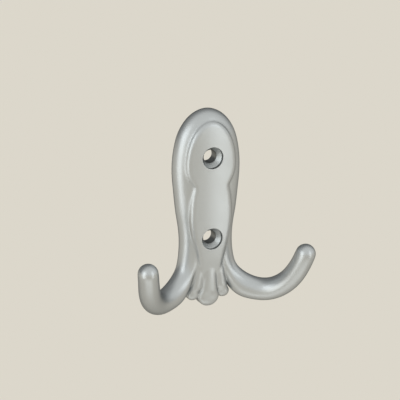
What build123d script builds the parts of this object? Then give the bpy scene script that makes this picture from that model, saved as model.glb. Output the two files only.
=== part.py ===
"""Double wall hook: one casting with a shield plate, two upswept arms and a fluted foot.

Millimetres. The wall plane is y = 0, the front faces -y and z is up.
The origin lies on the wall, midway between the two screw holes.
"""
import os
from math import cos, radians, sin, sqrt

from build123d import *

# Screw holes: a straight recess for the head, a 90 degree cone and a plain bore
hole_spacing = 32.0
hole_diameter = 5.2
head_diameter = 8.5
head_recess = 1.5

# Crest of the rim, as (across, up); the plate's edge is one rim width outside it
rim_width = 7.5
rim_height = 6.1
rim_inner = 3.0
crest_top = 26.5
crest_side = (6.4, 11.5)
crest_flank = (4.8, -5.6)
crest_neck = (5.2, -19.0)
neck_width = 5.7
neck_height = 5.7

# Centre line of an arm, as (across, forward, up), from the plate to the tip
arm_root = (8.5, 1.5, -31.2)
arm_under = (14.0, 4.0, -36.7)
arm_low = (23.0, 9.6, -38.3)
arm_bend = (27.6, 14.2, -35.0)
arm_rise = (30.8, 19.3, -28.1)
arm_tip = (32.4, 22.4, -21.4)
root_radius = 4.7
root_inner = 2.6
under_inner = 4.5
tip_radius = 3.9

# Raised panel: outline as (across, up), heights of its crowned face and its edge rounding
panel_margin = 3.9
panel_side = (10.3, 13.0)
panel_waist = (7.35, 4.7)
waist_radius = 1.5
panel_hip = (8.7, -6.0)
panel_neck = (5.3, -26.0)
panel_end = (5.0, -35.0)
panel_end_depth = 3.5
panel_top_height = 6.6
panel_height = 7.6
panel_neck_height = 6.7
panel_end_height = 4.3
panel_crown = 55.0
panel_edge = 1.9

# Reeds of the foot, from start through bend to end: (across, up), half width and height of the crown
side_reed_places = ((4.2, -22.0), (4.0, -33.5), (6.3, -38.8))
side_reed_widths = (1.1, 2.2, 2.5)
side_reed_crowns = (5.6, 6.6, 4.9)
middle_reed_places = ((0.0, -22.0), (0.0, -36.0), (0.0, -39.7))
middle_reed_widths = (2.9, 2.5, 4.4)
middle_reed_crowns = (6.3, 6.8, 5.6)
reed_relief = 2.2

# Share of a quarter's reach that makes its Bezier curve round, and two that leave it squarer
round_quarter = 0.5523
reed_quarter = 0.75
full_quarter = 0.9
# Angles, in degrees, of the places over the crest's top and of the sections that round off an end
crown_steps = (90, 60, 30)
tip_steps = (15, 30, 45, 58, 70, 80, 86)
reed_end_steps = (22, 44, 64, 80)
# Steps along a reed
reed_steps = 6
# How far a body runs behind the wall plane before it is trimmed there
behind_wall = 2.0


def point(across, forward, up):
    """A point from its distance across, in front of the wall, and up."""
    return Vector(across, -forward, up)


def blend(first, last, share):
    """The value at a share of the way from the first to the last."""
    return first + (last - first) * share


def bend(values, share):
    """The value at a share of the curve from the first, towards the second, to the third."""
    first, middle, last = values
    return blend(blend(first, middle, share), blend(middle, last, share), share)


def front_of(along):
    """The direction that faces the front, square to a bar's line."""
    facing = Vector(0, -1, 0)
    return (facing - along * facing.dot(along)).normalized()


def bar_section(centre, along, outer, inner, front, back, inner_quarter=round_quarter):
    """A closed four-quarter section, square to a bar's line, with its own reach on each side."""
    plane = Plane(origin=centre, x_dir=front_of(along).cross(along), z_dir=along)
    q = round_quarter
    k = inner_quarter
    quarters = [
        Bezier((outer, 0), (outer, q * front), (q * outer, front), (0, front)),
        Bezier((0, front), (-k * inner, front), (-inner, k * front), (-inner, 0)),
        Bezier((-inner, 0), (-inner, -q * back), (-q * inner, -back), (0, -back)),
        Bezier((0, -back), (q * outer, -back), (outer, -q * back), (outer, 0)),
    ]
    return plane * make_face(quarters)


def tip(centre, along, outward):
    """Sections that shrink to the rounded end of an arm."""
    sections = []
    for step in tip_steps:
        place = centre + outward * (tip_radius * sin(radians(step)))
        radius = tip_radius * cos(radians(step))
        sections.append(bar_section(place, along, radius, radius, radius, radius))
    return sections


def crown_place(angle):
    """A place on the half ellipse that the crest follows over the top of the plate."""
    side, level = crest_side
    return side * cos(radians(angle)), level + (crest_top - level) * sin(radians(angle))


def rim_and_arms():
    """The bar that runs from one tip, round the plate as its rim, to the other tip."""
    crest = [crown_place(angle) for angle in crown_steps] + [crest_side, crest_flank, crest_neck]
    arm = [arm_root, arm_under, arm_low, arm_bend, arm_rise, arm_tip]
    right = [point(x, 0, z) for x, z in crest] + [point(*place) for place in arm]
    left = [Vector(-p.X, p.Y, p.Z) for p in reversed(right[1:])]
    places = left + right
    rail = Spline(*places)

    # Reach of the section at each place: outer, inner, front, back and inner fullness
    plate_reach = (rim_width, rim_inner, rim_height, behind_wall, full_quarter)
    neck_reach = (neck_width, rim_inner, neck_height, behind_wall, full_quarter)
    root_reach = (root_radius, root_inner, root_radius, root_radius, round_quarter)
    under_reach = (root_radius, under_inner, root_radius, root_radius, round_quarter)
    reaches = [plate_reach] * (len(crest) - 1) + [neck_reach, root_reach, under_reach]
    for number in range(2, len(arm)):
        radius = blend(root_radius, tip_radius, number / (len(arm) - 1))
        reaches.append((radius, radius, radius, radius, round_quarter))
    reaches = reaches[:0:-1] + reaches

    sections = []
    marks = [rail.param_at_point(place) for place in places]
    for number, mark in enumerate(marks):
        sections.append(bar_section(rail @ mark, rail % mark, *reaches[number]))
        if number + 1 < len(marks):
            middle = (mark + marks[number + 1]) / 2
            reach = [blend(a, b, 0.5) for a, b in zip(reaches[number], reaches[number + 1])]
            sections.append(bar_section(rail @ middle, rail % middle, *reach))
    first = tip(rail @ 0, rail % 0, -(rail % 0))
    last = tip(rail @ 1, rail % 1, rail % 1)
    return loft(first[::-1] + sections + last)


def panel_outline():
    """The violin-shaped outline of the raised panel, down to its end under the reeds."""
    top = crest_top + rim_width - panel_margin
    end_half, end_level = panel_end
    end = (0, end_level - panel_end_depth)
    half = make_face(
        [
            EllipticalCenterArc((0, panel_side[1]), panel_side[0], top - panel_side[1], arc_size=90),
            TangentArc(panel_side, panel_waist, tangent=(0, -1)),
            TangentArc(panel_hip, panel_waist, tangent=(0, 1)),
            Spline(panel_hip, panel_neck, panel_end, tangents=((0, -1), (0, -1))),
            EllipticalCenterArc((0, end_level), end_half, panel_end_depth, start_angle=270, arc_size=90),
            Line(end, (0, top)),
        ]
    )
    corner = half.vertices().sort_by_distance(Vector(*panel_waist, 0))[0]
    half = fillet(corner, waist_radius)
    return half + mirror(half, Plane.YZ)


def panel():
    """The raised panel: its outline under a crowned face, with a rounded edge."""
    half_span = 2 * panel_side[0]
    sag = panel_crown - sqrt(panel_crown**2 - half_span**2)
    levels = [
        (crest_top + rim_width - panel_margin, panel_top_height),
        (hole_spacing / 2, panel_height),
        (0, panel_height),
        (-hole_spacing / 2, panel_height),
        (panel_neck[1], panel_neck_height),
        (panel_end[1] - panel_end_depth, panel_end_height),
    ]
    slices = []
    for up, height in levels:
        side = sag - height
        slice_outline = [
            ThreePointArc((-half_span, side), (0, -height), (half_span, side)),
            Line((half_span, side), (half_span, behind_wall)),
            Line((half_span, behind_wall), (-half_span, behind_wall)),
            Line((-half_span, behind_wall), (-half_span, side)),
        ]
        slices.append(Pos(0, 0, up) * make_face(slice_outline))
    crowned = loft(slices)
    body = extrude(Plane.XZ * panel_outline(), 2 * panel_height) & crowned
    face = body.faces().sort_by(Axis.Y)[0]
    return fillet(face.edges(), panel_edge)


def reed_section(across, up, width, shoulder, crown):
    """A reed's outline at one level: straight sides from the wall and a rounded crown."""
    k = reed_quarter
    bow = shoulder + k * (crown - shoulder)
    outline = [
        Line((-width, 0), (-width, -shoulder)),
        Bezier((-width, -shoulder), (-width, -bow), (-k * width, -crown), (0, -crown)),
        Bezier((0, -crown), (k * width, -crown), (width, -bow), (width, -shoulder)),
        Line((width, -shoulder), (width, 0)),
        Line((width, 0), (-width, 0)),
    ]
    return Pos(across, 0, up) * make_face(outline)


def reed(places, widths, crowns):
    """One reed of the foot, which rises out of the panel and widens downwards to a domed end."""
    sections = []
    for number in range(reed_steps + 1):
        share = number / reed_steps
        across = bend([place[0] for place in places], share)
        up = bend([place[1] for place in places], share)
        width = bend(widths, share)
        crown = bend(crowns, share)
        sections.append(reed_section(across, up, width, crown - reed_relief, crown))
    for step in reed_end_steps:
        level = up - width * sin(radians(step))
        shrink = cos(radians(step))
        top = crown - reed_relief * (1 - shrink)
        sections.append(reed_section(across, level, width * shrink, crown - reed_relief, top))
    return loft(sections)


def screw_hole():
    """A head recess, cone and bore, as the solid to be removed."""
    bore = hole_diameter / 2
    head = head_diameter / 2
    seat = panel_height - head_recess
    profile = Polyline(
        (0, -behind_wall),
        (bore, -behind_wall),
        (bore, seat - (head - bore)),
        (head, seat),
        (head, 2 * panel_height),
        (0, 2 * panel_height),
        close=True,
    )
    turned = revolve(make_face(Plane.XZ * profile), Axis.Z)
    return Rot(X=90) * turned


def build():
    """The whole casting, with the bar trimmed at the wall before the rest is joined on."""
    reach = 4 * hole_spacing
    front_space = Pos(0, -reach / 2, 0) * Box(2 * reach, reach, 2 * reach)
    side = reed(side_reed_places, side_reed_widths, side_reed_crowns)
    middle = reed(middle_reed_places, middle_reed_widths, middle_reed_crowns)
    foot = middle + side + mirror(side, Plane.YZ)
    body = (rim_and_arms() & front_space) + panel() + foot
    for up in (hole_spacing / 2, -hole_spacing / 2):
        body = body - Pos(0, 0, up) * screw_hole()
    return body


os.makedirs("parts", exist_ok=True)
export_step(build(), "parts/hook_body.step")
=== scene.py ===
"""Looks of the double wall hook: satin cast metal in plain studio light, seen from the front left."""

from math import cos, radians, sin

import bpy
from mathutils import Matrix, Vector

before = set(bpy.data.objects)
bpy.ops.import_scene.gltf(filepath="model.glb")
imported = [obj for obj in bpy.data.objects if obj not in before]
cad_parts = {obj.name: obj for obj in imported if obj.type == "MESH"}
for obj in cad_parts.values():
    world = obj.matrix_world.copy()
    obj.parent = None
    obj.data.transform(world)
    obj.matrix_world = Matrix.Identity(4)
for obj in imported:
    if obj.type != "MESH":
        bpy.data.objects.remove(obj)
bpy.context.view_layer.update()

# Camera: its direction from the hook, how far it leans, its distance and its framing
view_left_of_front = radians(23.33)
view_elevation = radians(16.32)
view_lean = radians(0.365)
view_distance = 0.7773
lens_mm = 182.5
sensor_mm = 36.0
frame_shift = (-0.0125, -0.0155)

# Backdrop: the flat colour behind the hook and the floor that carries it
backdrop_colour = (0.723, 0.687, 0.604, 1.0)
floor_level = -1.4
floor_size = 60.0
floor_glow = 0.97

# World: a studio that is pale in front and grey behind, and meets the floor in one colour at the horizon
studio_front = (0.88, 0.89, 0.865, 1.0)
studio_back = (0.215, 0.22, 0.215, 1.0)
studio_facing = radians(3)
back_share = 0.25
front_share = 0.57
horizon_height = 0.12

# Lamps: their cool white, then name, degrees right of the front, elevation, distance, width, height, watts
lamp_colour = (0.93, 0.98, 1.0)
lamps = [
    ("left_softbox", -68, 2, 1.2, 0.7, 1.6, 4.0),
    ("right_softbox", 32, 4, 1.2, 0.36, 1.5, 1.75),
    ("low_fill", -15, -62, 1.2, 1.3, 0.6, 1.1),
]

# Satin plating: how metallic it is, its colour, its darker colour at a grazing view, its gloss and grain
metal_share = 0.9
metal_colour = (0.53, 0.549, 0.558, 1.0)
metal_grazing = (0.25, 0.25, 0.25, 1.0)
roughness_low = 0.31
roughness_high = 0.39
cloud_scale = 160.0
cloud_detail = 4.0
grain_scale = 2600.0
grain_detail = 2.0
grain_height = 0.000012

# Casting radii that soften the edges, and how far from a screw hole's axis its crisp edges end
soft_radius = 0.0016
crisp_radius = 0.0003
crisp_ends = 0.0045
soft_starts = 0.0062
soft_samples = 8

# Screw holes: their height, and the painted shade of the bore and the recess and where the plain metal
# colour starts, as shares of a reach from the axis
hole_height = 0.016
hole_reach = 0.005
bore_painted_shade = (0.31, 0.32, 0.32, 1.0)
bore_ends = 0.53
recess_painted_shade = (0.475, 0.493, 0.497, 1.0)
recess_starts = 0.56
recess_ends = 0.853
painted_shade_ends = 0.87


def direction(right_of_front, elevation):
    """A unit vector from the hook, by its angle to the right of the front and its height."""
    flat = cos(elevation)
    return Vector((sin(right_of_front) * flat, -cos(right_of_front) * flat, sin(elevation)))


def new_material(name):
    """An empty node material with its output."""
    material = bpy.data.materials.new(name)
    material.use_nodes = True
    tree = material.node_tree
    tree.nodes.clear()
    return material, tree, tree.nodes.new("ShaderNodeOutputMaterial")


def math_of(tree, operation, *values):
    """The result of a Math node, whose inputs are sockets of other nodes or plain numbers."""
    node = tree.nodes.new("ShaderNodeMath")
    node.operation = operation
    for socket, value in zip(node.inputs, values):
        if isinstance(value, bpy.types.NodeSocket):
            tree.links.new(value, socket)
        else:
            socket.default_value = value
    return node.outputs["Value"]


def range_of(tree, value, from_low, from_high, to_low=0.0, to_high=1.0):
    """A value moved from one range to another, and held at both ends."""
    node = tree.nodes.new("ShaderNodeMapRange")
    node.inputs["From Min"].default_value = from_low
    node.inputs["From Max"].default_value = from_high
    node.inputs["To Min"].default_value = to_low
    node.inputs["To Max"].default_value = to_high
    tree.links.new(value, node.inputs["Value"])
    return node.outputs["Result"]


def noise_of(tree, place, scale, detail):
    """Even noise that fills the hook's own space."""
    node = tree.nodes.new("ShaderNodeTexNoise")
    node.inputs["Scale"].default_value = scale
    node.inputs["Detail"].default_value = detail
    tree.links.new(place.outputs["Object"], node.inputs["Vector"])
    return node.outputs["Fac"]


def parts_of(tree, vector):
    """The x, y and z of a vector."""
    node = tree.nodes.new("ShaderNodeSeparateXYZ")
    tree.links.new(vector, node.inputs["Vector"])
    return node.outputs["X"], node.outputs["Y"], node.outputs["Z"]


def hole_distance(tree, place):
    """How far a point lies from the axis of the nearer screw hole."""
    across, _, up = parts_of(tree, place.outputs["Object"])
    above = math_of(tree, "SUBTRACT", math_of(tree, "ABSOLUTE", up), hole_height)
    flat = tree.nodes.new("ShaderNodeCombineXYZ")
    tree.links.new(across, flat.inputs["X"])
    tree.links.new(above, flat.inputs["Z"])
    length = tree.nodes.new("ShaderNodeVectorMath")
    length.operation = "LENGTH"
    tree.links.new(flat.outputs["Vector"], length.inputs[0])
    return length.outputs["Value"]


def metal_colour_and_hole_shade(tree, place, distance):
    """The metal colour, with painted shade at each screw hole (a dark bore and a darker recess), and a flat
    back in the plain metal colour all over.
    """
    share = range_of(tree, distance, 0.0, hole_reach)
    _, facing_back, _ = parts_of(tree, place.outputs["Normal"])
    ramp = tree.nodes.new("ShaderNodeValToRGB")
    stops = ramp.color_ramp.elements
    # Painted shade: the bore is coloured dark and the recess darker than the metal, in place of the shade
    # inside each screw hole.
    stops[0].position = bore_ends
    stops[0].color = bore_painted_shade
    stops[1].position = painted_shade_ends
    stops[1].color = metal_colour
    stops.new(recess_starts).color = recess_painted_shade
    stops.new(recess_ends).color = recess_painted_shade
    tree.links.new(math_of(tree, "MAXIMUM", share, facing_back), ramp.inputs["Fac"])
    return ramp.outputs["Color"]


def metal_surface(tree, place, distance):
    """Soft casting radii, crisp at the screw holes, under a fine blasted grain."""
    edges = tree.nodes.new("ShaderNodeBevel")
    edges.samples = soft_samples
    radius = range_of(tree, distance, crisp_ends, soft_starts, crisp_radius, soft_radius)
    tree.links.new(radius, edges.inputs["Radius"])
    bump = tree.nodes.new("ShaderNodeBump")
    bump.inputs["Distance"].default_value = grain_height
    tree.links.new(noise_of(tree, place, grain_scale, grain_detail), bump.inputs["Height"])
    tree.links.new(edges.outputs["Normal"], bump.inputs["Normal"])
    return bump.outputs["Normal"]


def satin_metal():
    """The hook's one material: a plated casting with a slightly cloudy gloss."""
    material, tree, output = new_material("satin_metal")
    place = tree.nodes.new("ShaderNodeTexCoord")
    shader = tree.nodes.new("ShaderNodeBsdfPrincipled")
    shader.inputs["Metallic"].default_value = metal_share
    shader.inputs["Specular Tint"].default_value = metal_grazing
    distance = hole_distance(tree, place)
    clouds = noise_of(tree, place, cloud_scale, cloud_detail)
    gloss = range_of(tree, clouds, 0.0, 1.0, roughness_low, roughness_high)
    tree.links.new(metal_colour_and_hole_shade(tree, place, distance), shader.inputs["Base Color"])
    tree.links.new(gloss, shader.inputs["Roughness"])
    tree.links.new(metal_surface(tree, place, distance), shader.inputs["Normal"])
    tree.links.new(shader.outputs["BSDF"], output.inputs["Surface"])
    return material


def floor_material():
    """A pale floor that looks flat to the eye and in the metal, and still takes shadow."""
    material, tree, output = new_material("pale_floor")
    paper = tree.nodes.new("ShaderNodeBsdfDiffuse")
    paper.inputs["Color"].default_value = backdrop_colour
    glow = tree.nodes.new("ShaderNodeEmission")
    glow.inputs["Color"].default_value = backdrop_colour
    path = tree.nodes.new("ShaderNodeLightPath")
    seen = math_of(tree, "MAXIMUM", path.outputs["Is Camera Ray"], path.outputs["Is Glossy Ray"])
    seen = math_of(tree, "MAXIMUM", seen, path.outputs["Is Transmission Ray"])
    mix = tree.nodes.new("ShaderNodeMixShader")
    tree.links.new(math_of(tree, "MULTIPLY", seen, floor_glow), mix.inputs["Fac"])
    tree.links.new(paper.outputs["BSDF"], mix.inputs[1])
    tree.links.new(glow.outputs["Emission"], mix.inputs[2])
    tree.links.new(mix.outputs["Shader"], output.inputs["Surface"])
    return material


def make_floor():
    """One large flat floor, below the hook."""
    half = floor_size / 2
    mesh = bpy.data.meshes.new("floor")
    corners = [(-half, -half, 0), (half, -half, 0), (half, half, 0), (-half, half, 0)]
    mesh.from_pydata(corners, [], [(0, 1, 2, 3)])
    floor = bpy.data.objects.new("floor", mesh)
    floor.location.z = floor_level
    mesh.materials.append(floor_material())
    bpy.context.scene.collection.objects.link(floor)


def make_world():
    """A soft studio all round, which meets the floor at the horizon in one colour."""
    world = bpy.data.worlds.new("studio")
    world.use_nodes = True
    bpy.context.scene.world = world
    tree = world.node_tree
    tree.nodes.clear()
    place = tree.nodes.new("ShaderNodeTexCoord")

    # How far a direction turns towards the pale side, from 0 behind to 1 in front
    turn = tree.nodes.new("ShaderNodeVectorMath")
    turn.operation = "DOT_PRODUCT"
    turn.inputs[1].default_value = direction(studio_facing, 0)
    tree.links.new(place.outputs["Generated"], turn.inputs[0])
    studio = tree.nodes.new("ShaderNodeValToRGB")
    stops = studio.color_ramp.elements
    stops[0].position = back_share
    stops[0].color = studio_back
    stops[1].position = front_share
    stops[1].color = studio_front
    tree.links.new(range_of(tree, turn.outputs["Value"], -1.0, 1.0), studio.inputs["Fac"])

    # The floor's colour at the horizon
    _, _, up = parts_of(tree, place.outputs["Generated"])
    mix = tree.nodes.new("ShaderNodeMixRGB")
    mix.inputs["Color1"].default_value = backdrop_colour
    tree.links.new(range_of(tree, up, 0.0, horizon_height), mix.inputs["Fac"])
    tree.links.new(studio.outputs["Color"], mix.inputs["Color2"])

    background = tree.nodes.new("ShaderNodeBackground")
    output = tree.nodes.new("ShaderNodeOutputWorld")
    tree.links.new(mix.outputs["Color"], background.inputs["Color"])
    tree.links.new(background.outputs["Background"], output.inputs["Surface"])


def make_lamps():
    """Soft rectangular lamps that all face the hook."""
    for name, right_of_front, elevation, distance, width, height, watts in lamps:
        light = bpy.data.lights.new(name, "AREA")
        light.shape = "RECTANGLE"
        light.size = width
        light.size_y = height
        light.energy = watts
        light.color = lamp_colour
        lamp = bpy.data.objects.new(name, light)
        out = direction(radians(right_of_front), radians(elevation))
        lamp.location = out * distance
        lamp.rotation_euler = out.to_track_quat("Z", "Y").to_euler()
        lamp.visible_camera = False
        bpy.context.scene.collection.objects.link(lamp)


def make_camera():
    """The photograph's viewpoint."""
    out = direction(-view_left_of_front, view_elevation)
    level_right = Vector((cos(view_left_of_front), -sin(view_left_of_front), 0))
    level_up = out.cross(level_right)
    right = level_right * cos(view_lean) + level_up * sin(view_lean)
    up = level_up * cos(view_lean) - level_right * sin(view_lean)
    data = bpy.data.cameras.new("camera")
    data.lens = lens_mm
    data.sensor_width = sensor_mm
    data.shift_x, data.shift_y = frame_shift
    camera = bpy.data.objects.new("camera", data)
    turned = Matrix((right, up, out)).transposed().to_4x4()
    camera.matrix_world = Matrix.Translation(out * view_distance) @ turned
    bpy.context.scene.collection.objects.link(camera)
    bpy.context.scene.camera = camera


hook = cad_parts["hook_body"]
hook.data.materials.clear()
hook.data.materials.append(satin_metal())

make_floor()
make_world()
make_lamps()
make_camera()
bpy.context.scene.view_settings.view_transform = "Standard"
